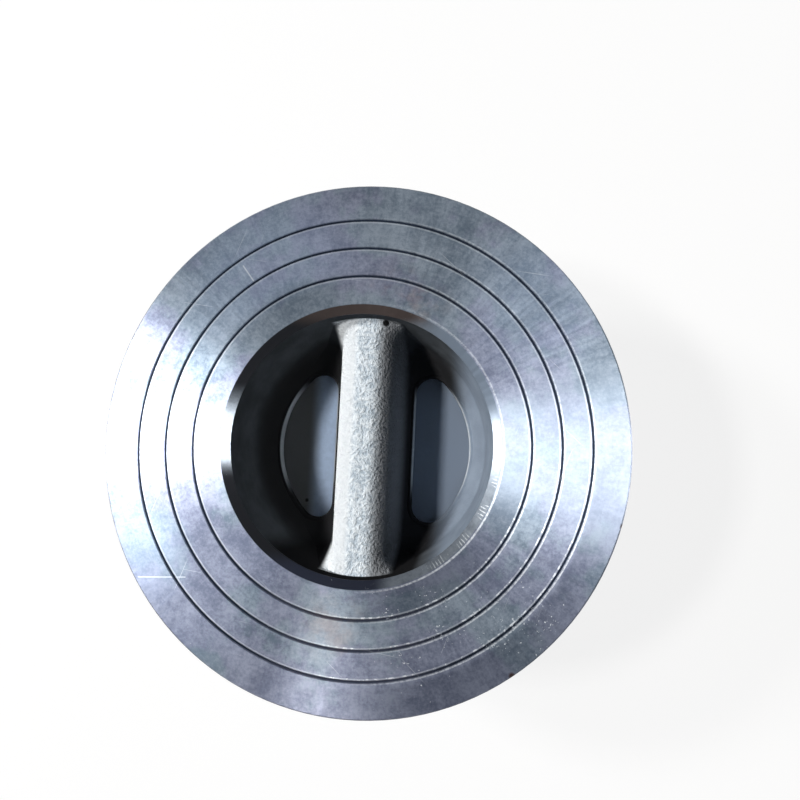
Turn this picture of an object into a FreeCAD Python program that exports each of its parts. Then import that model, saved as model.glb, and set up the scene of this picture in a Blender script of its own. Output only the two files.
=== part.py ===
"""Wafer non-return valve with two sprung half-disc plates, nominal bore 50 mm, 107 mm across and 60 mm long.

Frame: millimetres, +Z along the flow axis and against the flow. The valve stands on its outlet face, z = 0, and
its inlet face with the three sealing grooves looks up. The hinge pin, the stop pin and the bridge across the
port run along Y; in a level pipe +Y is the top end of the pins. The origin is the centre of the outlet face.
"""

import FreeCAD, Part
import math
import os

Vector = FreeCAD.Vector
X_AXIS = Vector(1, 0, 0)
Y_AXIS = Vector(0, 1, 0)
Z_AXIS = Vector(0, 0, 1)
ORIGIN = Vector(0, 0, 0)

# Two places nearer than this count as the same when an edge is looked up
same_place = 0.01

# Body casting, outside
outside_diameter = 107.0
face_to_face_length = 60.0
rim_length = 7.0
rim_chamfer_width = 0.3
waist_depth = 2.5
waist_fillet = 2.0

# The two D-shaped ports, and the rounded lip round each
port_radius = 21.8
port_half_gap = 9.1
port_corner = 3.7
lip_width = 0.8
lip_round = 0.5

# Inlet passage, from the lip outwards and upwards: a steep shoulder, a cast cone and a turned mouth
shoulder_width = 2.8
shoulder_height = 4.6
shoulder_fillet = 3.0
cone_taper = 1.6
cone_length = 15.0
mouth_bevel = 1.65
mouth_depth = 1.7

# Bridge across the passage
nose_depth = 5.0
nose_half_width = 5.4
nose_flat_half_width = 0.5
nose_corner = 2.7
bridge_half_width = 7.0
bridge_corner = 4.2

# Sealing grooves turned into both faces
groove_count = 3
groove_land = 5.85
groove_pitch = 5.85
groove_width = 0.7
groove_depth = 0.45
outlet_land = 4.5

# Seat
seat_wall = 2.3
seal_lip = 1.6
seal_width = 4.0
seal_groove_depth = 1.8
seal_standout = 0.4

# Plates
plate_overlap = 0.6
plate_thickness = 4.0
plate_half_gap = 1.0
plate_rim_chamfer = 1.0
plate_corner = 2.0
lug_wall = 1.9
lug_reach = 12.0
lug_arm_angle = 33.0
lug_plate_clearance = 0.4
opening_angle = 80.0
stop_rib_width = 6.0
stop_rib_foot = 1.0
stop_rib_margin = 2.5
stop_pad_length = 3.8
stop_clearance = 0.1

# Outlet chamber, with a boss at each end of the hinge pin
chamber_clearance = 4.5
chamber_chamfer = 0.6
chamber_corner = 2.0
boss_clearance = 1.0
boss_margin = 0.8

# Pins
pin_diameter = 5.0
pin_bore_clearance = 0.05
pin_end_clearance = 0.5
pin_chamfer = 0.5

# Washers that space the lugs and springs along the hinge pin
body_bearing_thickness = 1.5
plate_bearing_thickness = 1.0
spring_bearing_thickness = 1.0
lug_length = 6.2
bearing_step = 0.1
bearing_bore_clearance = 0.1
axial_clearance = 0.1

# Torsion springs
wire_diameter = 1.2
coil_clearance = 0.5
coil_turns = 5
spring_end_clearance = 0.5
leg_clearance = 0.05
leg_end_gap = 1.4

# Screw plugs that keep the pins in, with their gaskets
plug_thread_radius = 5.0
plug_thread_clearance = 0.05
plug_thread_length = 6.0
plug_end_gap = 1.0
plug_collar_radius = 7.0
plug_collar_height = 2.8
plug_gap = 1.0
plug_socket_across_flats = 5.0
plug_socket_depth = 4.5
plug_edge_chamfer = 0.5
gasket_thickness = 1.0
gasket_bore_clearance = 0.15
spotface_depth = 2.5
spotface_margin = 2.0

# How far a piece of the casting runs into its neighbour before they are fused, and cutters run past a face
run_in = 0.6

# Radii, from the port outwards
lip_radius = port_radius + lip_width
shoulder_radius = lip_radius + shoulder_width
passage_radius = shoulder_radius + cone_taper
mouth_radius = passage_radius + mouth_bevel
inlet_groove_radius = mouth_radius + groove_land
plate_radius = port_radius + seal_lip + seal_width + plate_overlap
chamber_radius = plate_radius + chamber_clearance
outlet_groove_radius = chamber_radius + outlet_land
outside_radius = outside_diameter / 2
waist_radius = outside_radius - waist_depth

# Depths below the inlet face
shoulder_depth = mouth_depth + cone_length
lip_depth = shoulder_depth + shoulder_height
seat_depth = lip_depth + seat_wall + seal_standout

# Hinge and stop
pin_radius = pin_diameter / 2
lug_radius = pin_radius + lug_wall
bearing_radius = lug_radius - bearing_step
pin_boss_radius = lug_radius + boss_margin
pin_boss_face = plate_radius + boss_clearance
plate_back = lug_radius + lug_plate_clearance
pin_spacing = 2 * plug_collar_radius + plug_gap
seat_z = face_to_face_length - seat_depth
seat_wall_z = seat_z + seal_standout
hinge_z = seat_z - plate_thickness - plate_back
stop_z = hinge_z - pin_spacing

# Where the stop pin meets a plate's rib, from the hinge axis along the closed plate
stop_contact_x = pin_spacing * math.sin(math.radians(opening_angle))
stop_contact_drop = pin_spacing * math.cos(math.radians(opening_angle)) - pin_radius - stop_clearance
stop_rib_start = stop_contact_x - stop_pad_length / 2 - stop_rib_foot
spring_leg_length = stop_rib_start - leg_end_gap

# Ends of the pins
spotface_radius = plug_collar_radius + spotface_margin
spotface_y = waist_radius - spotface_depth
pin_hole_end_y = spotface_y - plug_thread_length - plug_end_gap
pin_end_y = pin_hole_end_y - pin_end_clearance

# Stations along the hinge pin, from the body boss inwards
outer_lug_end = pin_boss_face - body_bearing_thickness - axial_clearance
outer_lug_start = outer_lug_end - lug_length
plate_bearing_end = outer_lug_start - axial_clearance
inner_lug_end = plate_bearing_end - plate_bearing_thickness - axial_clearance
inner_lug_start = inner_lug_end - lug_length
spring_bearing_end = inner_lug_start - axial_clearance
spring_zone_end = spring_bearing_end - spring_bearing_thickness - spring_end_clearance
spring_zone_start = spring_bearing_thickness / 2 + spring_end_clearance


def at_depth(depth):
    """Height of a level that lies this far below the inlet face."""
    return face_to_face_length - depth


def half_turn(shape):
    """The same shape turned half round the flow axis, as the second plate and spring are."""
    turned = shape.copy()
    turned.rotate(ORIGIN, Z_AXIS, 180)
    return turned


def upright_cylinder(radius, low, high):
    return Part.makeCylinder(radius, high - low, Vector(0, 0, low), Z_AXIS)


def pin_line_cylinder(radius, start, end, z):
    """A round bar along Y, from start to end, at height z."""
    return Part.makeCylinder(radius, end - start, Vector(0, start, z), Y_AXIS)


def revolve_section(points):
    """Solid of revolution about Z from corner points (radius, height)."""
    corners = [Vector(radius, 0, height) for radius, height in points]
    face = Part.Face(Part.makePolygon(corners + corners[:1]))
    return face.revolve(ORIGIN, Z_AXIS, 360)


def extrude_side_view(points, start, end):
    """Prism along Y from start to end, from corner points (x, height)."""
    corners = [Vector(x, start, height) for x, height in points]
    face = Part.Face(Part.makePolygon(corners + corners[:1]))
    return face.extrude(Vector(0, end - start, 0))


def d_outline(z, flat_x, arc_radius, corner_radius):
    """Closed D at height z: a straight side at x = flat_x, an arc about the flow axis, two rounded corners."""
    centre_x = flat_x + corner_radius
    centre_distance = arc_radius - corner_radius
    centre_y = math.sqrt(centre_distance**2 - centre_x**2)
    centre_angle = math.atan2(centre_y, centre_x)
    halfway = (math.pi + centre_angle) / 2

    def corner_point(side, angle):
        return Vector(
            centre_x + corner_radius * math.cos(angle), side * (centre_y + corner_radius * math.sin(angle)), z
        )

    flat_low = corner_point(-1, math.pi)
    flat_high = corner_point(1, math.pi)
    arc_low = corner_point(-1, centre_angle)
    arc_high = corner_point(1, centre_angle)
    return Part.Wire(
        [
            Part.LineSegment(flat_low, flat_high).toShape(),
            Part.Arc(flat_high, corner_point(1, halfway), arc_high).toShape(),
            Part.Arc(arc_high, Vector(arc_radius, 0, z), arc_low).toShape(),
            Part.Arc(arc_low, corner_point(-1, halfway), flat_low).toShape(),
        ]
    )


def port_prism(offset, low, high):
    """The port's D, grown by offset, as an upright prism."""
    outline = d_outline(low, port_half_gap - offset, port_radius + offset, port_corner + offset)
    return Part.Face(outline).extrude(Vector(0, 0, high - low))


def groove_cut(radius, face_z, inward):
    """One V-groove in an end face; inward is -1 below the inlet face and +1 above the outlet face."""
    half = groove_width / 2
    return revolve_section(
        [
            (radius - half, face_z),
            (radius, face_z + inward * groove_depth),
            (radius + half, face_z),
        ]
    )


def body_ring():
    """The turned ring: rims, waist, inlet passage down to the ledge, and outlet chamber, still without a bridge."""
    rim_radius = outside_radius
    ring = revolve_section(
        [
            (mouth_radius, face_to_face_length),
            (rim_radius - rim_chamfer_width, face_to_face_length),
            (rim_radius, at_depth(rim_chamfer_width)),
            (rim_radius, at_depth(rim_length)),
            (waist_radius, at_depth(rim_length + waist_depth)),
            (waist_radius, rim_length + waist_depth),
            (rim_radius, rim_length),
            (rim_radius, rim_chamfer_width),
            (rim_radius - rim_chamfer_width, 0),
            (chamber_radius + chamber_chamfer, 0),
            (chamber_radius, chamber_chamfer),
            (chamber_radius, seat_wall_z),
            (lip_radius, seat_wall_z),
            (lip_radius, at_depth(lip_depth)),
            (shoulder_radius, at_depth(shoulder_depth)),
            (passage_radius, at_depth(mouth_depth)),
        ]
    )
    ring = ring.makeFillet(shoulder_fillet, [circle_edge(ring, shoulder_radius, at_depth(shoulder_depth))])
    ring = ring.makeFillet(chamber_corner, [circle_edge(ring, chamber_radius, seat_wall_z)])
    waist_low = rim_length + waist_depth
    waist_edges = [circle_edge(ring, waist_radius, waist_low), circle_edge(ring, waist_radius, at_depth(waist_low))]
    return ring.makeFillet(waist_fillet, waist_edges)


def circle_edge(shape, radius, z):
    """The full-circle edge of a shape at this radius and height."""
    for edge in shape.Edges:
        centre_off = (edge.CenterOfMass - Vector(0, 0, z)).Length
        is_circle = edge.Curve.TypeId == "Part::GeomCircle"
        if centre_off < same_place and is_circle and abs(edge.Curve.Radius - radius) < same_place:
            return edge
    raise ValueError(f"no circular edge of radius {radius} at height {z}")


def passage_radius_at(depth):
    """Radius of the cast cone between the mouth and the shoulder."""
    share = (depth - mouth_depth) / (shoulder_depth - mouth_depth)
    return passage_radius + share * (shoulder_radius - passage_radius)


def level_edges(shape, z):
    """The edges of a shape that lie in the level plane at this height."""
    return [
        edge
        for edge in shape.Edges
        if abs(edge.BoundBox.ZMin - z) < same_place and abs(edge.BoundBox.ZMax - z) < same_place
    ]


def bridge():
    """The bridge with its rounded nose and flared ends, and the seat wall with its two D-shaped ports."""
    top = at_depth(nose_depth)
    lip = at_depth(lip_depth)
    block_radius = passage_radius + run_in
    block = upright_cylinder(block_radius, seat_wall_z, top)
    sections = [
        d_outline(top, nose_half_width, passage_radius_at(nose_depth) + run_in, nose_corner),
        d_outline(at_depth(shoulder_depth), bridge_half_width, shoulder_radius + run_in, bridge_corner),
        d_outline(lip, port_half_gap - lip_width, lip_radius, port_corner + lip_width),
    ]
    pocket = Part.makeLoft(sections, True, True)
    block = block.cut([pocket, half_turn(pocket)])
    rim_edge = circle_edge(block, block_radius, top)
    nose_edges = [edge for edge in level_edges(block, top) if not edge.isSame(rim_edge)]
    block = block.makeFillet(nose_half_width - nose_flat_half_width, nose_edges)
    port = port_prism(0, seat_wall_z, lip)
    block = block.cut([port, half_turn(port)])
    lip_edges = [edge for edge in level_edges(block, lip) if is_port_edge(edge)]
    return block.makeFillet(lip_round, lip_edges)


def is_port_edge(edge):
    """Whether an edge at the lip belongs to a port's outline, and not to the lip's outer side."""
    middle = edge.valueAt((edge.FirstParameter + edge.LastParameter) / 2)
    outline = d_outline(middle.z, port_half_gap, port_radius, port_corner)
    if middle.x < 0:
        outline = half_turn(outline)
    return outline.distToShape(Part.Vertex(middle))[0] < same_place


def pin_boss():
    """Flat-faced boss inside the chamber wall that the hinge pin's end washer bears on, one at each end."""
    boss = pin_line_cylinder(pin_boss_radius, pin_boss_face, chamber_radius + run_in, hinge_z)
    return boss.fuse(half_turn(boss))


def spotface_cut():
    """The milled flat, round at both ends, that the two screw plugs at the +Y side are seated on."""
    end = outside_radius + run_in
    slot = pin_line_cylinder(spotface_radius, spotface_y, end, hinge_z)
    slot = slot.fuse(pin_line_cylinder(spotface_radius, spotface_y, end, stop_z))
    corner = Vector(-spotface_radius, spotface_y, stop_z)
    return slot.fuse(Part.makeBox(2 * spotface_radius, end - spotface_y, pin_spacing, corner))


def pin_holes(z, inner_y):
    """Pin hole and tapped hole at both ends of one pin line."""
    hole = pin_line_cylinder(pin_radius + pin_bore_clearance, inner_y, spotface_y, z)
    tapped = pin_line_cylinder(plug_thread_radius, pin_hole_end_y, spotface_y, z)
    one_end = hole.fuse(tapped)
    return [one_end, half_turn(one_end)]


def valve_body():
    body = body_ring().fuse([bridge(), pin_boss()])
    body = body.removeSplitter()
    grooves = []
    for step in range(groove_count):
        grooves.append(groove_cut(inlet_groove_radius + step * groove_pitch, face_to_face_length, -1))
        grooves.append(groove_cut(outlet_groove_radius + step * groove_pitch, 0, 1))
    seal_top = seat_wall_z + seal_groove_depth
    seal_groove = port_prism(seal_lip + seal_width, seat_wall_z, seal_top)
    seal_groove = seal_groove.cut(port_prism(seal_lip, seat_wall_z, seal_top))
    cuts = grooves + [seal_groove, half_turn(seal_groove), spotface_cut(), half_turn(spotface_cut())]
    cuts += pin_holes(hinge_z, pin_boss_face - run_in)
    cuts += pin_holes(stop_z, chamber_radius - run_in)
    for cut in cuts:
        body = body.cut(cut)
    return body


def seat_seal():
    """Moulded D-shaped seal of the right-hand port; it stands proud of the seat wall."""
    top = seat_wall_z + seal_groove_depth
    outer = port_prism(seal_lip + seal_width, seat_z, top)
    return outer.cut(port_prism(seal_lip, seat_z, top))


def plate_lug(start):
    """One hinge lug: an eye round the pin and an arm up to the plate's back."""
    slant = math.radians(lug_arm_angle)
    arm = extrude_side_view(
        [
            (plate_half_gap, hinge_z + plate_back),
            (lug_reach, hinge_z + plate_back),
            (lug_radius * math.sin(slant), hinge_z - lug_radius * math.cos(slant)),
            (plate_half_gap, hinge_z),
        ],
        start,
        start + lug_length,
    )
    eye = pin_line_cylinder(lug_radius, start, start + lug_length, hinge_z)
    return eye.fuse(arm)


def stop_rib():
    """Tapered rib on the plate's back whose flat pad meets the stop pin when the plate is fully open."""
    pad_z = hinge_z - stop_contact_drop
    back_z = hinge_z + plate_back
    return extrude_side_view(
        [
            (stop_rib_start, back_z),
            (stop_rib_start + stop_rib_foot, pad_z),
            (stop_contact_x + stop_pad_length / 2, pad_z),
            (plate_radius - stop_rib_margin, back_z),
        ],
        -stop_rib_width / 2,
        stop_rib_width / 2,
    )


def plate():
    """The right-hand plate, closed. The left-hand one is the same casting turned half round."""
    disc = upright_cylinder(plate_radius, seat_z - plate_thickness, seat_z)
    disc = disc.makeChamfer(plate_rim_chamfer, [circle_edge(disc, plate_radius, seat_z - plate_thickness)])
    keep = Part.makeBox(
        plate_radius, 2 * plate_radius, plate_thickness, Vector(plate_half_gap, -plate_radius, seat_z - plate_thickness)
    )
    half_disc = disc.common(keep)
    corners = [
        edge
        for edge in half_disc.Edges
        if abs(edge.CenterOfMass.x - plate_half_gap) < same_place and edge.BoundBox.YLength < same_place
    ]
    half_disc = half_disc.makeFillet(plate_corner, corners)
    back = [plate_lug(outer_lug_start), plate_lug(-inner_lug_end), stop_rib()]
    round_side = upright_cylinder(plate_radius, stop_z, seat_z)
    casting = half_disc.fuse([piece.common(round_side) for piece in back])
    casting = casting.removeSplitter()
    for start in (outer_lug_start, -inner_lug_end):
        bore = pin_line_cylinder(pin_radius + pin_bore_clearance, start, start + lug_length, hinge_z)
        casting = casting.cut(bore)
    return casting


def pin(z):
    bar = pin_line_cylinder(pin_radius, -pin_end_y, pin_end_y, z)
    return bar.makeChamfer(pin_chamfer, [edge for edge in bar.Edges if edge.BoundBox.YLength < same_place])


def washer(end, thickness):
    """Plain round bearing on the hinge pin whose outer face is at y = end."""
    disc = pin_line_cylinder(bearing_radius, end - thickness, end, hinge_z)
    return disc.cut(pin_line_cylinder(pin_radius + bearing_bore_clearance, end - thickness, end, hinge_z))


def spring():
    """Torsion spring at the +Y side: its outer leg bears on the right-hand plate, its inner leg on the left."""
    wire_radius = wire_diameter / 2
    coil_radius = pin_radius + coil_clearance + wire_radius
    leg_height = plate_back - wire_radius - leg_clearance
    lift = math.asin((leg_height - coil_radius) / spring_leg_length)
    turn_share = coil_turns - 2 * lift / (2 * math.pi)
    coil_length = spring_zone_end - spring_zone_start - wire_diameter
    pitch = coil_length / turn_share
    helix = Part.makeLongHelix(pitch, coil_length, coil_radius, 0, False)
    helix.rotate(ORIGIN, X_AXIS, 90)
    helix.rotate(ORIGIN, Y_AXIS, -90 - math.degrees(lift))
    helix.translate(Vector(0, spring_zone_end - wire_radius, hinge_z))
    start = helix.Edges[0].valueAt(helix.Edges[0].FirstParameter)
    start_way = helix.Edges[0].tangentAt(helix.Edges[0].FirstParameter)
    end = helix.Edges[-1].valueAt(helix.Edges[-1].LastParameter)
    end_way = helix.Edges[-1].tangentAt(helix.Edges[-1].LastParameter)
    outer_tip = start - start_way * spring_leg_length
    inner_tip = end + end_way * spring_leg_length
    path = Part.Wire(
        [Part.LineSegment(outer_tip, start).toShape()]
        + helix.Edges
        + [Part.LineSegment(end, inner_tip).toShape()]
    )
    section = Part.Wire([Part.makeCircle(wire_radius, outer_tip, start_way)])
    return path.makePipeShell([section], True, True)


def plug(z):
    """Collared screw plug with a hexagon socket, at the +Y end of one pin."""
    collar_start = spotface_y + gasket_thickness
    collar_end = collar_start + plug_collar_height
    collar = pin_line_cylinder(plug_collar_radius, collar_start, collar_end, z)
    collar = collar.makeChamfer(plug_edge_chamfer, [edge for edge in collar.Edges if edge.BoundBox.YMin > collar_start])
    thread_radius = plug_thread_radius - plug_thread_clearance
    thread = pin_line_cylinder(thread_radius, spotface_y - plug_thread_length, collar_start, z)
    return collar.fuse(thread).removeSplitter().cut(hexagon_socket(collar_end, z))


def hexagon_socket(mouth_y, z):
    corner_radius = plug_socket_across_flats / 2 / math.cos(math.radians(30))
    corners = []
    for corner in range(7):
        angle = math.radians(60 * corner)
        x = corner_radius * math.cos(angle)
        height = z + corner_radius * math.sin(angle)
        corners.append(Vector(x, mouth_y - plug_socket_depth, height))
    return Part.Face(Part.makePolygon(corners)).extrude(Vector(0, plug_socket_depth, 0))


def gasket(z):
    ring = pin_line_cylinder(plug_collar_radius, spotface_y, spotface_y + gasket_thickness, z)
    bore_radius = plug_thread_radius + gasket_bore_clearance
    return ring.cut(pin_line_cylinder(bore_radius, spotface_y, spotface_y + gasket_thickness, z))


def save(name, shape):
    solids = shape.Solids
    if not solids or not all(solid.isValid() for solid in solids):
        raise ValueError(f"{name} is not a valid solid")
    kept = solids[0] if len(solids) == 1 else Part.makeCompound(solids)
    kept.exportStep(os.path.join("parts", f"{name}.step"))
    print(f"{name}: {len(solids)} solid, {kept.Volume:.0f} mm3")


def both_ends(shape):
    """A group of the shape and its twin turned half round the flow axis."""
    return Part.makeCompound([shape, half_turn(shape)])


def save_twins(name, shape, first, second):
    """The piece in its first place, and its twin turned half round the flow axis in its second place."""
    save(f"{name}_{first}", shape)
    save(f"{name}_{second}", half_turn(shape))


def main():
    os.makedirs("parts", exist_ok=True)
    save("valve_body", valve_body())
    save_twins("seat_seal", seat_seal(), "right", "left")
    save_twins("plate", plate(), "right", "left")
    save("hinge_pin", pin(hinge_z))
    save("stop_pin", pin(stop_z))
    save_twins("spring", spring(), "top", "bottom")
    save_twins("body_bearing", washer(pin_boss_face, body_bearing_thickness), "top", "bottom")
    save_twins("plate_bearing", washer(plate_bearing_end, plate_bearing_thickness), "top", "bottom")
    save_twins("spring_bearing", washer(spring_bearing_end, spring_bearing_thickness), "top", "bottom")
    save("middle_spring_bearing", washer(spring_bearing_thickness / 2, spring_bearing_thickness))
    save("hinge_pin_plugs", both_ends(plug(hinge_z)))
    save("stop_pin_plugs", both_ends(plug(stop_z)))
    save("hinge_plug_gaskets", both_ends(gasket(hinge_z)))
    save("stop_plug_gaskets", both_ends(gasket(stop_z)))


main()
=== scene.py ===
import bmesh
import bpy
import math
from mathutils import Matrix, Vector


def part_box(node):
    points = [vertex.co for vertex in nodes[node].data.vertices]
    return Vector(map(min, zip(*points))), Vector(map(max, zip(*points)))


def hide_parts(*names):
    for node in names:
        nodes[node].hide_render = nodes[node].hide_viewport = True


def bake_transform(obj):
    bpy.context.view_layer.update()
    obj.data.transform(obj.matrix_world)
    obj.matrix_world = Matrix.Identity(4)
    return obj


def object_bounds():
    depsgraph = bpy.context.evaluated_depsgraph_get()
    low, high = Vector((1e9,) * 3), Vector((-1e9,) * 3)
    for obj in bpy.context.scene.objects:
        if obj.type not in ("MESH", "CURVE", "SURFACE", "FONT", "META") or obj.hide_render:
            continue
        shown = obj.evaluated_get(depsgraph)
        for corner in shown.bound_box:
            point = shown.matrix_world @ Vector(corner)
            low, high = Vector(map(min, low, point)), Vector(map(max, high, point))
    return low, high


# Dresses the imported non-return valve in turned and cast steel, rubber, plastic and graphite.
# Lengths are metres in the frame of the CAD model: the flow axis is Z with the inlet face on top,
# and the pins and the bridge run along Y. Colours are red, green and blue from 0 to 1.

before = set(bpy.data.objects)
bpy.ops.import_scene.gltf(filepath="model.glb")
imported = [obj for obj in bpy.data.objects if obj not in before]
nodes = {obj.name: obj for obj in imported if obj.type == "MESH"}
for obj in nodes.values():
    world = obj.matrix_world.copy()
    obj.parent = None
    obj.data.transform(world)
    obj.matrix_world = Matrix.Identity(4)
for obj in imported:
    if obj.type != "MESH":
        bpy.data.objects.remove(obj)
cad_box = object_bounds()

# Places and sizes on the valve, the first three read from the frame
body_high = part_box("valve_body")[1]
INLET_Z = body_high[2]
RIM_RADIUS = body_high[0]
SEAT_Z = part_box("seat_seal_right")[0][2]
MOUTH_Z = INLET_Z - 0.0017
MOUTH_RADIUS = 0.02865
PASSAGE_RADIUS = 0.0279
BRIDGE_Z = INLET_Z - 0.005
BRIDGE_SIDE = 0.0072
PORT_RADIUS = 0.0218
PORT_SIDE = 0.0091
PORT_EDGE_Z = 0.0415
GROOVES_FROM = 0.0335
GROOVES_TO = 0.05
GROOVE_PITCH = 0.00585
OUTLET_SKIN = 0.0009

# Springs: the wire, how close vertices are merged, and how close to the cut they are taken for part of it
SPRING_WIRE = 0.0012
MERGE_DISTANCE = 1e-6
CUT_DISTANCE = 1e-7

# Colours of the turned steel: the face, its paler places, painted highlight and painted dark reflections,
# the bevel of the mouth with painted shade and shadow, the grooves with painted shade, and the marks, some
# of them painted highlights
FACE_DARK = (0.073, 0.096, 0.125)
FACE_PALE = (0.168, 0.199, 0.238)
LOWER_FACE_DARK = (0.079, 0.09, 0.13)
LOWER_FACE_PALE = (0.174, 0.191, 0.248)
EVEN_FACE = (0.125, 0.15, 0.185)
PALE_TONE_AND_HIGHLIGHT = (0.055, 0.07, 0.1)
DARK_REFLECTION = (0.02, 0.025, 0.04)
BEVEL_DARK = (0.1, 0.115, 0.135)
BEVEL_PALE = (0.16, 0.182, 0.21)
BEVEL_BLUE = (0.15, 0.185, 0.235)
BEVEL_BROWN_SHADE = (0.05, 0.04, 0.038)
BEVEL_SHADE = (0.016, 0.017, 0.02)
BEVEL_SHADOW = (0.024, 0.028, 0.043)
GROOVE_SHADE = (0.034, 0.046, 0.072)
GROOVE_PALER = (0.09, 0.1, 0.135)
RUST = (0.2, 0.15, 0.13)
BARE_METAL_AND_HIGHLIGHT = (0.6, 0.63, 0.66)
NICK = (0.03, 0.02, 0.02)

# Colours of the casting: outside, the bridge with painted shade on its right flank and painted highlight on
# its left side, the walls of the passage painted as shaded and lit, and painted highlight on the ports'
# edges
OUTSIDE_DARK = (0.33, 0.345, 0.37)
OUTSIDE_PALE = (0.42, 0.435, 0.46)
BRIDGE_DARK = (0.82, 0.89, 0.95)
BRIDGE_PALE = (0.87, 0.93, 0.98)
BRIDGE_PIT = (0.46, 0.54, 0.62)
BRIDGE_SHADE = (0.23, 0.24, 0.255)
PINHOLE = (0.01, 0.01, 0.01)
FLANK_HIGHLIGHT_DARK = (0.74, 0.77, 0.8)
FLANK_HIGHLIGHT_PALE = (0.93, 0.96, 0.98)
SHADED_WALL_DARK = (0.061, 0.067, 0.074)
SHADED_WALL_PALE = (0.089, 0.098, 0.109)
SHADED_WALL_DEEP = (0.028, 0.028, 0.03)
LIT_WALL_DARK = (0.2, 0.24, 0.3)
LIT_WALL_PALE = (0.25, 0.3, 0.37)
WALL_SHADOW = (0.016, 0.016, 0.017)
PORT_EDGE_HIGHLIGHT = (0.5, 0.54, 0.58)

# Colours of the plates, the left one painted as lit and the right one painted as shaded
LEFT_PLATE_LIT_DARK = (0.4, 0.5, 0.67)
LEFT_PLATE_LIT_PALE = (0.45, 0.56, 0.74)
RIGHT_PLATE_SHADED = (0.25, 0.3, 0.38)
PLATE_SHADOW = (0.17, 0.175, 0.18)
PLATE_SPECK = (0.02, 0.02, 0.02)
PLATE_BACK_DARK = (0.36, 0.37, 0.385)
PLATE_BACK_PALE = (0.48, 0.485, 0.5)

# Scratches: turns of the fine ones in degrees, and the two ends and the width of those that stand out
SCRATCH_TURNS = (20.0, 97.0, -48.0)
HAIR_SCRATCHES = (
    ((-0.044, -0.0289, INLET_Z), (-0.034, -0.0283, INLET_Z), 0.00013),
    ((-0.0262, 0.0362, INLET_Z), (-0.0234, 0.0326, INLET_Z), 0.0002),
)

# Burrs, outwards and inwards from the middle of a groove; the outer line is a painted highlight
OUTER_BURR_HIGHLIGHT = 0.0004
INNER_BURR = -0.00045

# Tool marks: how fast single ticks and stretches of them follow the angle, and the radii where ticks start
CHATTER_TICKS = 260.0
CHATTER_STRETCHES = 26.0
CHATTER_STARTS = (0.0268, 0.0281)

# Depth of the relief of each surface, and how far the gloss of the turned steel follows its lay
TURNED_RELIEF = 0.000006
CAST_RELIEF = 0.0011
FINE_RELIEF = 0.00002
LAY_GLOSS = 0.87

# Photograph: an 800 by 800 frame and a lens of 32.9 mm on a 36 mm wide sensor
LENS = 32.9
SENSOR_WIDTH = 36.0
BRIDGE_LEAN = math.radians(2.7)
CAMERA_FROM_INLET = Vector((0.0253, -0.0046, 0.1448))
CAMERA_LOOK = Vector((-0.1146, 0.0922, -0.9891))
CAMERA_UP = Vector((0.0106, 0.9957, 0.0916))

# Studio: white backdrop and floor, a faint blue room, and warm lamps
BACKDROP = (0.9, 0.9, 0.9, 1)
ROOM_COLOUR = (0.85, 0.92, 1.0, 1)
ROOM_STRENGTH = 0.05
FLOOR_SIZE = 6.0
FLOOR_LIFT = 0.85
LAMP_DISTANCE = 1.2
LEFT_LIGHT = (1.0, 0.99, 0.97)
RIGHT_LIGHT = (1.0, 0.98, 0.95)
LOW_LIGHT = (1.0, 0.95, 0.9)


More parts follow.
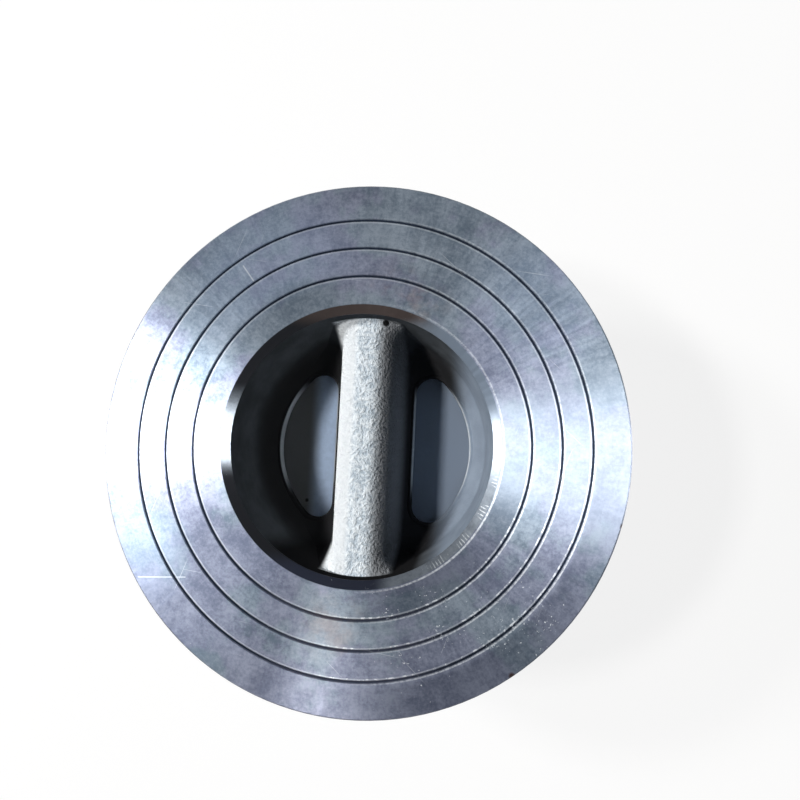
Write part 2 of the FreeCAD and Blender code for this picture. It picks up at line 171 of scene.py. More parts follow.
class Finish:
    """One node material: a Principled shader, and short calls that add the nodes feeding it."""

    def __init__(self, name, metallic=0.0, roughness=0.5):
        self.material = bpy.data.materials.new(name)
        self.material.use_nodes = True
        self.tree = self.material.node_tree
        self.shader = self.tree.nodes["Principled BSDF"]
        self.shader.inputs["Metallic"].default_value = metallic
        self.shader.inputs["Roughness"].default_value = roughness
        self.position = self.add("ShaderNodeTexCoord").outputs["Object"]

    def add(self, kind, **settings):
        made = self.tree.nodes.new(kind)
        for name, value in settings.items():
            setattr(made, name, value)
        return made

    def put(self, socket, value):
        """Links an output to a socket, or sets the socket to a plain value."""
        if isinstance(value, bpy.types.NodeSocket):
            self.tree.links.new(value, socket)
        else:
            socket.default_value = value

    def math(self, operation, a, b=0.0, c=0.0):
        made = self.add("ShaderNodeMath", operation=operation)
        for socket, value in zip(made.inputs, (a, b, c)):
            self.put(socket, value)
        return made.outputs[0]

    def product(self, value, *factors):
        """All the values multiplied together."""
        for factor in factors:
            value = self.math("MULTIPLY", value, factor)
        return value

    def greatest(self, value, *others):
        """The greatest of the values."""
        for other in others:
            value = self.math("MAXIMUM", value, other)
        return value

    def weighted(self, first, *others):
        """The sum of pairs of a value and its weight."""
        total = self.product(*first)
        for value, weight in others:
            total = self.math("MULTIPLY_ADD", value, weight, total)
        return total

    def parts(self, vector):
        made = self.add("ShaderNodeSeparateXYZ")
        self.put(made.inputs[0], vector)
        return made.outputs

    def vector(self, x, y, z):
        made = self.add("ShaderNodeCombineXYZ")
        for socket, value in zip(made.inputs, (x, y, z)):
            self.put(socket, value)
        return made.outputs[0]

    def stretched(self, scale, turn):
        """The position turned about Z by an angle in degrees, then scaled along each axis."""
        turned = self.add("ShaderNodeMapping")
        self.put(turned.inputs["Vector"], self.position)
        turned.inputs["Rotation"].default_value = (0, 0, math.radians(turn))
        scaled = self.add("ShaderNodeMapping")
        self.put(scaled.inputs["Vector"], turned.outputs[0])
        scaled.inputs["Scale"].default_value = scale
        return scaled.outputs[0]

    def noise(self, scale, detail, roughness=0.5, vector=None):
        """A noise pattern at the position, or at a vector made from it."""
        made = self.add("ShaderNodeTexNoise")
        self.put(made.inputs["Vector"], vector or self.position)
        made.inputs["Scale"].default_value = scale
        made.inputs["Detail"].default_value = detail
        made.inputs["Roughness"].default_value = roughness
        return made.outputs[0]

    def ramp_up(self, value, low, high, out_low=0.0, out_high=1.0):
        """A smooth step: out_low below low, out_high above high."""
        made = self.add("ShaderNodeMapRange", interpolation_type="SMOOTHSTEP")
        for name, put in (
            ("Value", value),
            ("From Min", low),
            ("From Max", high),
            ("To Min", out_low),
            ("To Max", out_high),
        ):
            self.put(made.inputs[name], put)
        return made.outputs[0]

    def blend(self, share, a, b, blend_type="MIX"):
        """Colour a where share is 0 and colour b where it is 1."""
        made = self.add("ShaderNodeMix", data_type="RGBA", blend_type=blend_type)
        self.put(made.inputs["Factor"], share)
        for name, colour in (("A", a), ("B", b)):
            self.put(made.inputs[name], (*colour, 1.0) if isinstance(colour, tuple) else colour)
        return made.outputs["Result"]

    def between(self, share, a, b):
        """Value a where share is 0 and value b where it is 1."""
        made = self.add("ShaderNodeMix", data_type="FLOAT")
        self.put(made.inputs["Factor"], share)
        self.put(made.inputs["A"], a)
        self.put(made.inputs["B"], b)
        return made.outputs["Result"]

    def close_to(self, value, target, inner, outer):
        """1 where a value is within the inner distance of a target, falling to 0 at the outer distance."""
        distance = self.math("ABSOLUTE", self.math("SUBTRACT", value, target))
        return self.ramp_up(distance, outer, inner)

    def near(self, place, inner, outer):
        """1 within the inner distance of a place in metres, falling to 0 at the outer distance."""
        made = self.add("ShaderNodeVectorMath", operation="DISTANCE")
        self.put(made.inputs[0], self.position)
        self.put(made.inputs[1], place)
        return self.ramp_up(made.outputs["Value"], outer, inner)

    def along(self, direction):
        """How far the position lies along a direction."""
        made = self.add("ShaderNodeVectorMath", operation="DOT_PRODUCT")
        self.put(made.inputs[0], self.position)
        self.put(made.inputs[1], direction)
        return made.outputs["Value"]

    def sector(self, direction, radius, low, high):
        """1 round a direction from the flow axis; low and high are cosines of the angle from it."""
        return self.ramp_up(self.math("DIVIDE", self.along(direction), radius), low, high)

    def bump(self, shader, height, distance):
        """Relief on a shader, of this depth in metres where height runs from 0 to 1."""
        made = self.add("ShaderNodeBump")
        made.inputs["Distance"].default_value = distance
        made.inputs["Strength"].default_value = 1.0
        self.put(made.inputs["Height"], height)
        self.put(shader.inputs["Normal"], made.outputs[0])


def body_steel():
    """Body: turned steel on the end faces, the rims and the mouth, and a casting everywhere else."""
    f = Finish("body_steel", metallic=1.0)
    x, y, z = f.parts(f.position)
    radius = f.math("SQRT", f.math("MULTIPLY_ADD", x, x, f.product(y, y)))
    turned_steel(f, x, y, z, radius)
    casting = cast_steel(f, x, y, z, radius)
    turned = turned_places(f, z, radius)
    surface = mix_shaders(f.tree, turned, casting.outputs[0], f.shader.outputs[0])
    f.put(f.tree.nodes["Material Output"].inputs["Surface"], surface)
    return f.material


def turned_places(f, z, radius):
    """1 on both end faces, in the mouth and on the rims."""
    on_inlet = f.ramp_up(z, MOUTH_Z - 0.0003, MOUTH_Z + 0.0001)
    on_outlet = f.ramp_up(z, OUTLET_SKIN + 0.0003, OUTLET_SKIN)
    on_rim = f.ramp_up(radius, RIM_RADIUS - 0.0004, RIM_RADIUS - 0.0001)
    return f.greatest(on_inlet, on_outlet, on_rim)


def turned_steel(f, x, y, z, radius):
    """Turned steel: mottled, with a round lay, paler places, rust and bright marks, and painted highlights,
    shade and dark reflections.
    """
    mottle = f.noise(420.0, 4.0, 0.65)
    grit = f.noise(1500.0, 3.0, 0.7)
    cloud = f.noise(110.0, 4.0, 0.65)

    # Marks drawn out along the radius, and marks drawn out round the flow axis
    spoke = f.vector(f.math("DIVIDE", x, radius), f.math("DIVIDE", y, radius), f.product(radius, 1.5))
    radial_marks = f.noise(60.0, 5.0, 0.75, vector=spoke)
    lay = f.vector(f.product(x, 0.2), f.product(y, 0.2), f.product(radius, 6.0))
    lay_marks = f.noise(300.0, 3.0, 0.7, vector=lay)

    tone = f.weighted((mottle, 0.23), (grit, 0.27), (cloud, 0.35), (radial_marks, 0.08), (lay_marks, 0.07))
    tone = f.ramp_up(tone, 0.38, 0.62)
    marks = bright_marks_and_highlights(f, x, y, radius, grit)

    on_bevel = f.ramp_up(radius, MOUTH_RADIUS + 0.0001, MOUTH_RADIUS - 0.0001)
    colour = f.blend(on_bevel, face_colour(f, y, radius, tone), bevel_colour(f, x, y, tone))
    # Painted shade: the insides of the grooves are coloured dark
    colour = f.blend(in_groove(f, z, radius), colour, groove_colour(f, x, y))
    colour = f.blend(rust(f), colour, RUST)
    # Bare metal in scratches, tool marks and specks, and painted highlights along the groove edges
    colour = f.blend(marks, colour, BARE_METAL_AND_HIGHLIGHT)
    colour = f.blend(nicks(f), colour, NICK)
    f.put(f.shader.inputs["Base Color"], colour)
    f.put(f.shader.inputs["Roughness"], f.between(f.ramp_up(radial_marks, 0.36, 0.64), 0.3, 0.36))
    f.bump(f.shader, f.weighted((grit, 0.4), (lay_marks, 0.2), (marks, -0.4)), TURNED_RELIEF)
    f.shader.inputs["Anisotropic"].default_value = LAY_GLOSS
    f.shader.inputs["Anisotropic Rotation"].default_value = 0.25
    tangent = f.add("ShaderNodeTangent", direction_type="RADIAL", axis="Z")
    f.put(f.shader.inputs["Tangent"], tangent.outputs[0])


def face_colour(f, y, radius, tone):
    """The face: blue-grey, a little more violet on the lower side, with paler places, a painted highlight
    near the left rim and painted dark reflections.
    """
    lower_side = f.ramp_up(f.weighted((y, 0.5), (f.noise(70.0, 4.0, 0.65), 0.4)), 0.225, 0.175)
    darker = f.blend(lower_side, FACE_DARK, LOWER_FACE_DARK)
    lighter = f.blend(lower_side, FACE_PALE, LOWER_FACE_PALE)
    colour = f.blend(tone, darker, lighter)
    # Paler places, and a painted highlight near the left rim
    colour = f.blend(paler_places_and_highlight(f, radius), colour, PALE_TONE_AND_HIGHLIGHT, "ADD")
    # Painted dark reflections at the lower right and lower left
    colour = f.blend(painted_dark_reflections(f, radius), colour, DARK_REFLECTION)
    right_side = f.sector((1.0, 0.0, 0.0), radius, 0.9, 0.98)
    return f.blend(f.product(right_side, 0.45), colour, EVEN_FACE)


def paler_places_and_highlight(f, radius):
    """Paler places: the upper left outside the inner land and the upper right, and a painted highlight at
    the left rim.
    """
    upper_left = f.product(f.near((-0.02, 0.035, INLET_Z), 0.006, 0.025), f.ramp_up(radius, 0.032, 0.037))
    # Painted highlight at the left rim, below the middle
    left_rim_highlight = f.near((-0.043, -0.0245, INLET_Z), 0.003, 0.013)
    upper_right = f.product(f.near((0.035, 0.03, INLET_Z), 0.005, 0.02), 0.7)
    return f.greatest(upper_left, left_rim_highlight, upper_right)


def painted_dark_reflections(f, radius):
    """Painted dark reflections: darker on the inner and outer lands at the lower right, and at the lower
    left.
    """
    lands = f.greatest(f.ramp_up(radius, 0.035, 0.0335), f.ramp_up(radius, 0.0465, 0.048))
    lower_right = f.product(f.sector((0.707, -0.707, 0.0), radius, 0.6, 0.95), lands)
    lower_left = f.product(f.sector((-0.731, -0.682, 0.0), radius, 0.955, 0.995), 0.6)
    return f.product(f.greatest(lower_right, lower_left), 0.42)


def bevel_colour(f, x, y, tone):
    """The mouth's bevel: steel at the right, painted shade at the left away from its middle, brown painted
    shade at the top, and a painted shadow below the bridge.
    """
    colour = f.blend(tone, BEVEL_DARK, BEVEL_PALE)
    off_middle = f.greatest(f.ramp_up(y, 0.007, 0.012), f.ramp_up(y, -0.003, -0.008))
    # Painted shade on the left of the bevel, above and below its middle
    colour = f.blend(f.product(off_middle, f.ramp_up(x, 0.004, -0.004)), colour, BEVEL_SHADE)
    # Painted shade, brown, at the top of the bevel
    colour = f.blend(f.ramp_up(y, 0.0235, 0.0265), colour, BEVEL_BROWN_SHADE)
    colour = f.blend(f.near((0.022, 0.017, INLET_Z), 0.007, 0.016), colour, BEVEL_BLUE)
    # Painted shadow on the bevel below the bridge
    below_bridge = f.product(f.ramp_up(y, -0.0215, -0.0255), f.ramp_up(x, 0.009, 0.004))
    return f.blend(below_bridge, colour, BEVEL_SHADOW)


def in_groove(f, z, radius):
    """1 inside the sealing grooves of both end faces."""
    from_inlet = f.math("ABSOLUTE", f.math("SUBTRACT", z, INLET_Z))
    depth = f.math("MINIMUM", f.math("ABSOLUTE", z), from_inlet)
    past_first = f.ramp_up(radius, GROOVES_FROM, GROOVES_FROM + 0.0005)
    before_last = f.ramp_up(radius, GROOVES_TO, GROOVES_TO - 0.0005)
    return f.product(past_first, before_last, f.ramp_up(depth, 0.0001, 0.0003))


def groove_colour(f, x, y):
    """Painted shade in the grooves: dark blue, and paler below the mouth."""
    paler_below = f.product(f.ramp_up(y, -0.02, -0.03), f.close_to(x, 0.0, 0.01, 0.024))
    return f.blend(paler_below, GROOVE_SHADE, GROOVE_PALER)


def rust(f):
    """A faint brown bloom below the mouth and on the bevel at the top."""
    below_mouth = f.near((-0.003, -0.036, INLET_Z), 0.002, 0.009)
    places = f.greatest(below_mouth, f.near((0.008, 0.028, INLET_Z), 0.004, 0.012))
    return f.product(f.ramp_up(f.noise(160.0, 4.0, 0.7), 0.45, 0.7), places, 0.3)


def nicks(f):
    """Two dark nicks at the outer edge of the inlet face."""
    lower = f.near((0.032, -0.0426, INLET_Z), 0.0003, 0.0009)
    return f.greatest(lower, f.near((0.052, -0.0134, INLET_Z), 0.0003, 0.0008))


def bright_marks_and_highlights(f, x, y, radius, grit):
    """Where bare metal shines: scratches, tool marks, specks and burrs, the burrs partly painted highlights.
    """
    fine = f.product(f.greatest(*(scratch_lines(f, turn) for turn in SCRATCH_TURNS)), 0.25)
    single = [f.product(hair_scratch(f, *scratch), 0.4) for scratch in HAIR_SCRATCHES]
    angle = f.math("ARCTAN2", y, x)
    return f.greatest(fine, *single, chatter(f, angle, radius), specks(f), burrs(f, x, radius, grit))


def scratch_lines(f, turn):
    """Sparse hair scratches that run at an angle in degrees across the face."""
    streaks = f.noise(1.0, 2.0, vector=f.stretched((2600.0, 45.0, 60.0), turn))
    return f.ramp_up(streaks, 0.75, 0.8)


def hair_scratch(f, start, end, width):
    """One straight scratch between two places on the inlet face."""
    start, end = Vector(start), Vector(end)
    run = end - start
    pace = run / run.length_squared
    share = f.math("SUBTRACT", f.along(pace), start.dot(pace))
    share = f.math("MINIMUM", f.greatest(share, 0.0), 1.0)
    nearest_x = f.math("MULTIPLY_ADD", share, run.x, start.x)
    nearest_y = f.math("MULTIPLY_ADD", share, run.y, start.y)
    return f.near(f.vector(nearest_x, nearest_y, INLET_Z), width / 3, width)


def chatter(f, angle, radius):
    """Short radial tool marks on the outer part of the bevel, in a few stretches at the lower right."""
    uneven = f.product(f.noise(90.0, 2.0), 9.0)
    ticks = f.ramp_up(f.math("SINE", f.math("MULTIPLY_ADD", angle, CHATTER_TICKS, uneven)), 0.2, 0.95)
    broken = f.ramp_up(f.noise(1100.0, 2.0, 0.6), 0.35, 0.6, 0.15, 1.0)
    stretches = f.math("SINE", f.math("MULTIPLY_ADD", angle, CHATTER_STRETCHES, 0.4))
    stretches = f.ramp_up(stretches, -0.3, 0.6)
    lower_right = f.product(f.ramp_up(angle, -1.1, -0.95), f.ramp_up(angle, -0.15, -0.25))
    start = f.noise(45.0, 1.0, vector=f.vector(angle, 0.0, 0.0))
    start = f.ramp_up(start, 0.35, 0.65, *CHATTER_STARTS)
    past_start = f.ramp_up(radius, start, f.math("ADD", start, 0.0004))
    on_bevel = f.ramp_up(radius, MOUTH_RADIUS + 0.00005, MOUTH_RADIUS - 0.0001)
    return f.product(ticks, broken, stretches, lower_right, past_start, on_bevel, 0.6)


def specks(f):
    """Scattered bright dots, thickest towards the lower right of the face."""
    below_mouth = f.near((0.015, -0.034, INLET_Z), 0.004, 0.022)
    crowd = f.greatest(below_mouth, f.near((0.034, -0.036, INLET_Z), 0.004, 0.018))
    crowd = f.product(crowd, f.ramp_up(f.noise(180.0, 2.0, 0.6), 0.35, 0.6))
    least = f.between(crowd, 0.72, 0.595)
    return f.product(f.ramp_up(f.noise(1300.0, 3.0, 0.8), least, f.math("ADD", least, 0.05)), 0.7)


def burrs(f, x, radius, grit):
    """Thin bright burrs along the edges of each groove and round the mouth, with dots at the lower right;
    the outer edges, bright only at the lower right and the right, are painted highlights.
    """
    steps = f.math("DIVIDE", f.math("SUBTRACT", radius, MOUTH_RADIUS), GROOVE_PITCH)
    off_groove = f.product(f.math("SUBTRACT", steps, f.math("ROUND", steps)), GROOVE_PITCH)
    lower_right = f.sector((0.8, -0.6, 0.0), radius, 0.55, 0.95)
    right_side = f.product(f.ramp_up(x, 0.0, 0.02), 0.45)
    uneven = f.ramp_up(grit, 0.35, 0.6, 0.35, 1.0)
    outer = f.close_to(off_groove, OUTER_BURR_HIGHLIGHT, 0.00008, 0.00027)
    # Painted highlight: the outer edge shows only at the lower right and the right
    outer = f.product(outer, uneven, f.greatest(lower_right, right_side), 0.55)
    dotted = f.greatest(f.sector((0.42, -0.91, 0.0), radius, 0.78, 0.93), lower_right)
    dots = f.product(f.ramp_up(f.noise(900.0, 2.0, 0.7), 0.5, 0.6), dotted)
    inner = f.close_to(off_groove, INNER_BURR, 0.00008, 0.00026)
    off_bevel = f.ramp_up(radius, MOUTH_RADIUS, MOUTH_RADIUS + 0.0005)
    inner = f.product(inner, f.greatest(dots, 0.26), off_bevel, 0.7)
    return f.product(f.greatest(outer, inner), f.ramp_up(radius, GROOVES_TO - 0.0005, GROOVES_TO - 0.001))


def cast_steel(f, x, y, z, radius):
    """Blasted casting: light on the bridge and outside, darker and smoother on the walls of the passage,
    with light and shade painted into the bridge and the walls.
    """
    shader = f.add("ShaderNodeBsdfPrincipled")
    inside = f.ramp_up(radius, PASSAGE_RADIUS + 0.0004, PASSAGE_RADIUS)
    in_passage = f.product(f.ramp_up(z, SEAT_Z - 0.0002, SEAT_Z), inside)
    beside_bridge = f.ramp_up(f.math("ABSOLUTE", x), BRIDGE_SIDE - 0.0008, BRIDGE_SIDE + 0.0008)
    above_bridge = f.ramp_up(z, BRIDGE_Z, BRIDGE_Z + 0.0006)
    wall = f.product(in_passage, f.greatest(beside_bridge, above_bridge))
    near_mouth = f.ramp_up(z, INLET_Z - 0.02, INLET_Z - 0.012)
    # Painted highlight on the bridge's left flank near the mouth, which also gets a smoother relief
    wear_and_highlight = f.product(f.ramp_up(x, -0.0014, -0.003), near_mouth, in_passage, 0.8)
    grain = f.weighted((f.noise(1700.0, 2.0, 0.6), 0.6), (f.noise(700.0, 2.0, 0.6), 0.4))
    patch = f.ramp_up(f.noise(140.0, 4.0, 0.6), 0.3, 0.7)

    outside = f.blend(patch, OUTSIDE_DARK, OUTSIDE_PALE)
    colour = f.blend(in_passage, outside, bridge_colour(f, x, patch, grain))
    colour = f.blend(wear_and_highlight, colour, f.blend(f.ramp_up(x, -0.004, -0.0065), FLANK_HIGHLIGHT_DARK, FLANK_HIGHLIGHT_PALE))
    colour = f.blend(wall, colour, wall_colour(f, x, y, z, radius, patch))
    colour = f.blend(f.near((0.0038, 0.0258, BRIDGE_Z), 0.0005, 0.0009), colour, PINHOLE)
    f.put(shader.inputs["Base Color"], colour)
    f.put(shader.inputs["Metallic"], f.between(in_passage, 0.5, 0.0))
    shader.inputs["Specular IOR Level"].default_value = 0.0
    f.put(shader.inputs["Roughness"], f.between(wall, 0.5, 0.7))
    smooth = f.greatest(wall, f.product(wear_and_highlight, 0.4))
    relief = f.between(smooth, f.between(in_passage, 0.2, 1.0), 0.1)
    f.bump(shader, f.product(grain, relief), CAST_RELIEF)
    return shader


def bridge_colour(f, x, patch, grain):
    """The bridge: pale, with darker pits, and painted shade on its right flank."""
    colour = f.blend(patch, BRIDGE_DARK, BRIDGE_PALE)
    colour = f.blend(f.ramp_up(grain, 0.62, 0.36), colour, BRIDGE_PIT)
    # Painted shade: darker towards the right flank, away from the light
    return f.blend(f.ramp_up(x, 0.0008, 0.0042), colour, BRIDGE_SHADE)


def wall_colour(f, x, y, z, radius, patch):
    """The walls: painted shade at the left, darker deeper down, a painted shadow past the bridge's lower
    end, and bluish metal painted as lit at the right.
    """
    shade = f.blend(patch, SHADED_WALL_DARK, SHADED_WALL_PALE)
    # Painted shade, darker deeper down the passage
    shade = f.blend(f.ramp_up(z, INLET_Z - 0.011, INLET_Z - 0.019), shade, SHADED_WALL_DEEP)
    metal = f.blend(patch, LIT_WALL_DARK, LIT_WALL_PALE)
    shade_end = f.ramp_up(y, 0.0, 0.012, 0.013, 0.0165)
    # Painted shade at the left and metal painted as lit at the right
    colour = f.blend(f.ramp_up(x, shade_end, f.math("ADD", shade_end, 0.006)), shade, metal)
    # Painted shadow on the wall past the bridge's lower end
    past_bridge = f.product(f.ramp_up(y, -0.0185, -0.0225), f.ramp_up(x, 0.0135, 0.0115))
    colour = f.blend(past_bridge, colour, WALL_SHADOW)
    # Painted highlight along the port edges
    return f.blend(port_edge_highlight(f, x, y, z, radius), colour, PORT_EDGE_HIGHLIGHT)


def port_edge_highlight(f, x, y, z, radius):
    """A painted highlight along the edge of each port: along its straight side and along its arc."""
    arc = f.close_to(radius, PORT_RADIUS, 0.0001, 0.0004)
    side = f.close_to(f.math("ABSOLUTE", x), PORT_SIDE, 0.0001, 0.0004)
    side = f.product(side, f.ramp_up(radius, PORT_RADIUS + 0.0002, PORT_RADIUS))
    middle = f.product(f.ramp_up(y, 0.015, 0.01), f.ramp_up(y, -0.012, -0.005))
    below_shoulder = f.ramp_up(z, PORT_EDGE_Z + 0.0005, PORT_EDGE_Z)
    return f.product(f.greatest(arc, side), middle, below_shoulder)


def plate_steel():
    """Plates: a smooth grey skin on the face that meets the seat, painted lighter on the left plate as lit
    and darker on the right as shaded, with a painted shadow at the left, and bare cast metal on the back.
    """
    f = Finish("plate_steel")
    x, y, z = f.parts(f.position)
    skin = f.ramp_up(z, SEAT_Z - 0.0008, SEAT_Z - 0.0004)
    grain = f.noise(900.0, 4.0, 0.6)
    colour = f.blend(f.ramp_up(grain, 0.3, 0.7), LEFT_PLATE_LIT_DARK, LEFT_PLATE_LIT_PALE)
    # Painted shade: the right plate darker than the left, which is painted as lit
    colour = f.blend(f.ramp_up(x, 0.0, 0.002), colour, RIGHT_PLATE_SHADED)
    # Painted shadow of the mouth's left rim on the left plate
    colour = f.blend(f.ramp_up(x, -0.0125, -0.016), colour, PLATE_SHADOW)
    colour = f.blend(f.near((-0.0156, -0.0129, SEAT_Z), 0.0002, 0.0006), colour, PLATE_SPECK)
    colour = f.blend(skin, f.blend(grain, PLATE_BACK_DARK, PLATE_BACK_PALE), colour)
    f.put(f.shader.inputs["Base Color"], colour)
    f.put(f.shader.inputs["Metallic"], f.between(skin, 0.7, 0.0))
    f.shader.inputs["Specular IOR Level"].default_value = 0.0
    f.bump(f.shader, grain, FINE_RELIEF)
    return f.material


def plain_steel(name, colour, roughness, grain_scale):
    """Ground or drawn steel with a little grain and tone."""
    f = Finish(name, metallic=1.0)
    grain = f.noise(grain_scale, 4.0, 0.6)
    dark = tuple(0.8 * part for part in colour)
    f.put(f.shader.inputs["Base Color"], f.blend(f.ramp_up(grain, 0.3, 0.7), dark, colour))
    f.put(f.shader.inputs["Roughness"], f.between(grain, roughness * 0.7, roughness * 1.3))
    f.bump(f.shader, grain, FINE_RELIEF)
    return f.material


def soft_matt(name, colour, light, roughness, grain_scale, relief):
    """Rubber, plastic or graphite: a matt solid colour with fine grain."""
    f = Finish(name, roughness=roughness)
    grain = f.noise(grain_scale, 4.0, 0.6)
    f.put(f.shader.inputs["Base Color"], f.blend(f.ramp_up(grain, 0.3, 0.7), colour, light))
    f.bump(f.shader, grain, relief)
    return f.material


def dress(finish, *names):
    """Gives CAD pieces one finish."""
    for name in names:
        slots = nodes[name].data.materials
        slots.clear()
        slots.append(finish)


def add_finishes():
    dress(body_steel(), "valve_body")
    dress(plate_steel(), "plate_right", "plate_left")
    dress(plain_steel("pin_steel", (0.62, 0.62, 0.63), 0.3, 600.0), "hinge_pin", "stop_pin")
    dress(plain_steel("spring_wire", (0.5, 0.5, 0.51), 0.35, 1500.0), "spring_top", "spring_bottom")
    dress(plain_steel("plug_steel", (0.4, 0.405, 0.42), 0.3, 800.0), "hinge_pin_plugs", "stop_pin_plugs")
    dress(
        soft_matt("seal_rubber", (0.012, 0.012, 0.013), (0.03, 0.03, 0.032), 0.55, 1200.0, FINE_RELIEF),
        "seat_seal_right",
        "seat_seal_left",
    )
    dress(
        soft_matt("bearing_plastic", (0.7, 0.69, 0.66), (0.8, 0.79, 0.77), 0.45, 900.0, 0.00001),
        "body_bearing_top",
        "body_bearing_bottom",
        "plate_bearing_top",
        "plate_bearing_bottom",
        "spring_bearing_top",
        "spring_bearing_bottom",
        "middle_spring_bearing",
    )
    dress(
        soft_matt("gasket_graphite", (0.05, 0.05, 0.052), (0.09, 0.09, 0.092), 0.6, 1600.0, FINE_RELIEF),
        "hinge_plug_gaskets",
        "stop_plug_gaskets",
    )


def spring_half(node, plate, middle_y, leg_y):
    """Half of a torsion spring: it stays with the body at mid coil and turns with the plate at its leg."""
    mesh = nodes[node].data.copy()
    shape = bmesh.new()
    shape.from_mesh(mesh)
    bmesh.ops.remove_doubles(shape, verts=shape.verts, dist=MERGE_DISTANCE)
    outward = (0, math.copysign(1, leg_y - middle_y), 0)
    everything = shape.verts[:] + shape.edges[:] + shape.faces[:]
    cut = bmesh.ops.bisect_plane(
        shape,
        geom=everything,
        dist=CUT_DISTANCE,
        plane_co=(0, middle_y, 0),
        plane_no=outward,
        clear_inner=True,
    )
    rim = [part for part in cut["geom_cut"] if isinstance(part, bmesh.types.BMEdge)]
    bmesh.ops.holes_fill(shape, edges=rim)
    for face in shape.faces:
        face.smooth = True
    shape.to_mesh(mesh)
    shape.free()
    half = bpy.data.objects.new(f"{node}_{plate}_end", mesh)
    bpy.context.scene.collection.objects.link(half)
    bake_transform(half)
    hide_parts(node)


def add_springs():
    """Both springs in halves, so that the coils wind up as the plates open."""
    for node, outer_plate, inner_plate in (
        ("spring_top", "right_plate", "left_plate"),
        ("spring_bottom", "left_plate", "right_plate"),
    ):
        low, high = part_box(node)
        near_y, far_y = sorted((low[1], high[1]), key=abs)
        middle_y = (near_y + far_y) / 2
        wire = math.copysign(SPRING_WIRE, far_y)
        spring_half(node, outer_plate, middle_y, far_y - wire)
        spring_half(node, inner_plate, middle_y, near_y + wire)


def seen_directly(tree):
    """1 for a camera, glossy or transmission ray, and 0 for the light given to other surfaces."""
    path = tree.nodes.new("ShaderNodeLightPath")
    share = path.outputs["Is Camera Ray"]
    for kind in ("Is Glossy Ray", "Is Transmission Ray"):
        either = tree.nodes.new("ShaderNodeMath")
        either.operation = "MAXIMUM"
        tree.links.new(share, either.inputs[0])
        tree.links.new(path.outputs[kind], either.inputs[1])
        share = either.outputs[0]
    return share


def mix_shaders(tree, share, first, second):
    """The first shader where share is 0 and the second where it is 1."""
    mix = tree.nodes.new("ShaderNodeMixShader")
    for socket, source in zip(mix.inputs, (share, first, second)):
        if isinstance(source, float):
            socket.default_value = source
        else:
            tree.links.new(source, socket)
    return mix.outputs[0]


def add_world():
    """A faint room that lights the object, behind a backdrop that shows white."""
    world = bpy.data.worlds.new("studio")
    world.use_nodes = True
    tree = world.node_tree
    room = tree.nodes["Background"]
    room.inputs["Color"].default_value = ROOM_COLOUR
    room.inputs["Strength"].default_value = ROOM_STRENGTH
    white = tree.nodes.new("ShaderNodeBackground")
    white.inputs["Color"].default_value = BACKDROP
    surface = mix_shaders(tree, seen_directly(tree), room.outputs[0], white.outputs[0])
    tree.links.new(surface, tree.nodes["World Output"].inputs["Surface"])
    bpy.context.scene.world = world


def add_floor():
    """A white floor that keeps the object's shadow and can be looked through from below."""
    bpy.ops.mesh.primitive_plane_add(size=FLOOR_SIZE, location=(0, 0, cad_box[0][2]))
    floor = bpy.context.object
    floor.name = "floor"
    material = bpy.data.materials.new("floor_white")
    material.use_nodes = True
    tree = material.node_tree
    shader = tree.nodes["Principled BSDF"]
    shader.inputs["Base Color"].default_value = BACKDROP
    shader.inputs["Roughness"].default_value = 0.9
    white = tree.nodes.new("ShaderNodeEmission")
    lifted = mix_shaders(tree, FLOOR_LIFT, shader.outputs[0], white.outputs[0])
    surface = mix_shaders(tree, seen_directly(tree), shader.outputs[0], lifted)
    below = tree.nodes.new("ShaderNodeNewGeometry").outputs["Backfacing"]
    clear = tree.nodes.new("ShaderNodeBsdfTransparent")
    surface = mix_shaders(tree, below, surface, clear.outputs[0])
    tree.links.new(surface, tree.nodes["Material Output"].inputs["Surface"])
    floor.data.materials.append(material)


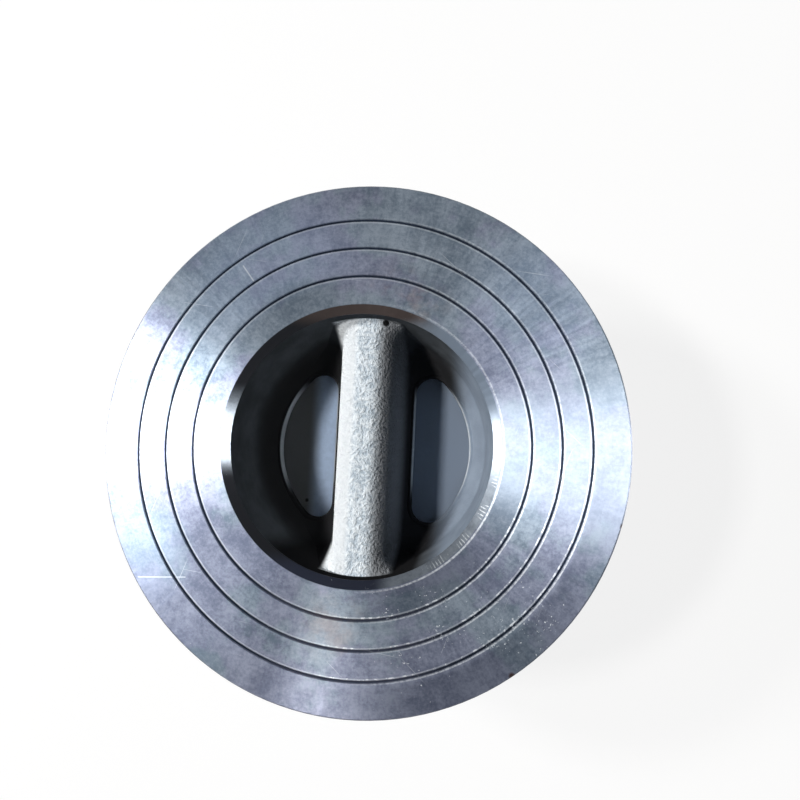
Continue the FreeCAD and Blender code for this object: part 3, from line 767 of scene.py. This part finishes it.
def add_lamp(name, azimuth, elevation, size, watts, colour):
    """A soft lamp aimed at the middle of the inlet face; azimuth turns from +X towards +Y."""
    lamp = bpy.data.lights.new(name, "AREA")
    lamp.shape = "RECTANGLE"
    lamp.size, lamp.size_y = size
    lamp.energy = watts
    lamp.color = colour
    level = LAMP_DISTANCE * math.cos(math.radians(elevation))
    height = INLET_Z + LAMP_DISTANCE * math.sin(math.radians(elevation))
    turn = math.radians(azimuth)
    place = Vector((level * math.cos(turn), level * math.sin(turn), height))
    held = bpy.data.objects.new(name, lamp)
    held.location = place
    held.rotation_euler = (Vector((0, 0, INLET_Z)) - place).to_track_quat("-Z", "Y").to_euler()
    bpy.context.scene.collection.objects.link(held)
    return held


def add_card(*lamp):
    """A reflector card, which shows only in the gloss of the metal."""
    add_lamp(*lamp).visible_diffuse = False


def add_lamps():
    """Two lamps at the left, and cards that give the turned steel its bright and dull sectors."""
    add_lamp("key_left", 177, 58, (0.16, 0.12), 9.2, LEFT_LIGHT)
    add_lamp("low_left", 162, 42, (0.16, 0.16), 9.0, LEFT_LIGHT)
    add_card("card_left", 199, 57, (0.5, 0.24), 5.1, LEFT_LIGHT)
    add_card("card_low_left", 180, 8, (0.36, 0.2), 15.0, LEFT_LIGHT)
    add_card("card_right", 2, 76, (0.3, 0.16), 5.3, RIGHT_LIGHT)
    add_card("card_low_right", 0, 20, (0.5, 0.2), 19.0, RIGHT_LIGHT)
    add_card("card_below", 246, 56, (0.1, 0.3), 2.5, LOW_LIGHT)


def add_camera():
    """The photograph's camera, turned about the flow axis by the lean of the bridge in the picture."""
    lean = Matrix.Rotation(BRIDGE_LEAN, 3, "Z")
    look = lean @ CAMERA_LOOK
    up = lean @ CAMERA_UP
    right = look.cross(up).normalized()
    up = right.cross(look).normalized()
    data = bpy.data.cameras.new("camera")
    data.lens = LENS
    data.sensor_width = SENSOR_WIDTH
    camera = bpy.data.objects.new("camera", data)
    turn = Matrix((right, up, -look)).transposed().to_4x4()
    place = Matrix.Translation(Vector((0, 0, INLET_Z)) + lean @ CAMERA_FROM_INLET)
    camera.matrix_world = place @ turn
    bpy.context.scene.collection.objects.link(camera)
    bpy.context.scene.camera = camera


add_finishes()
add_springs()
add_world()
add_floor()
add_lamps()
add_camera()
bpy.context.scene.view_settings.view_transform = "Standard"
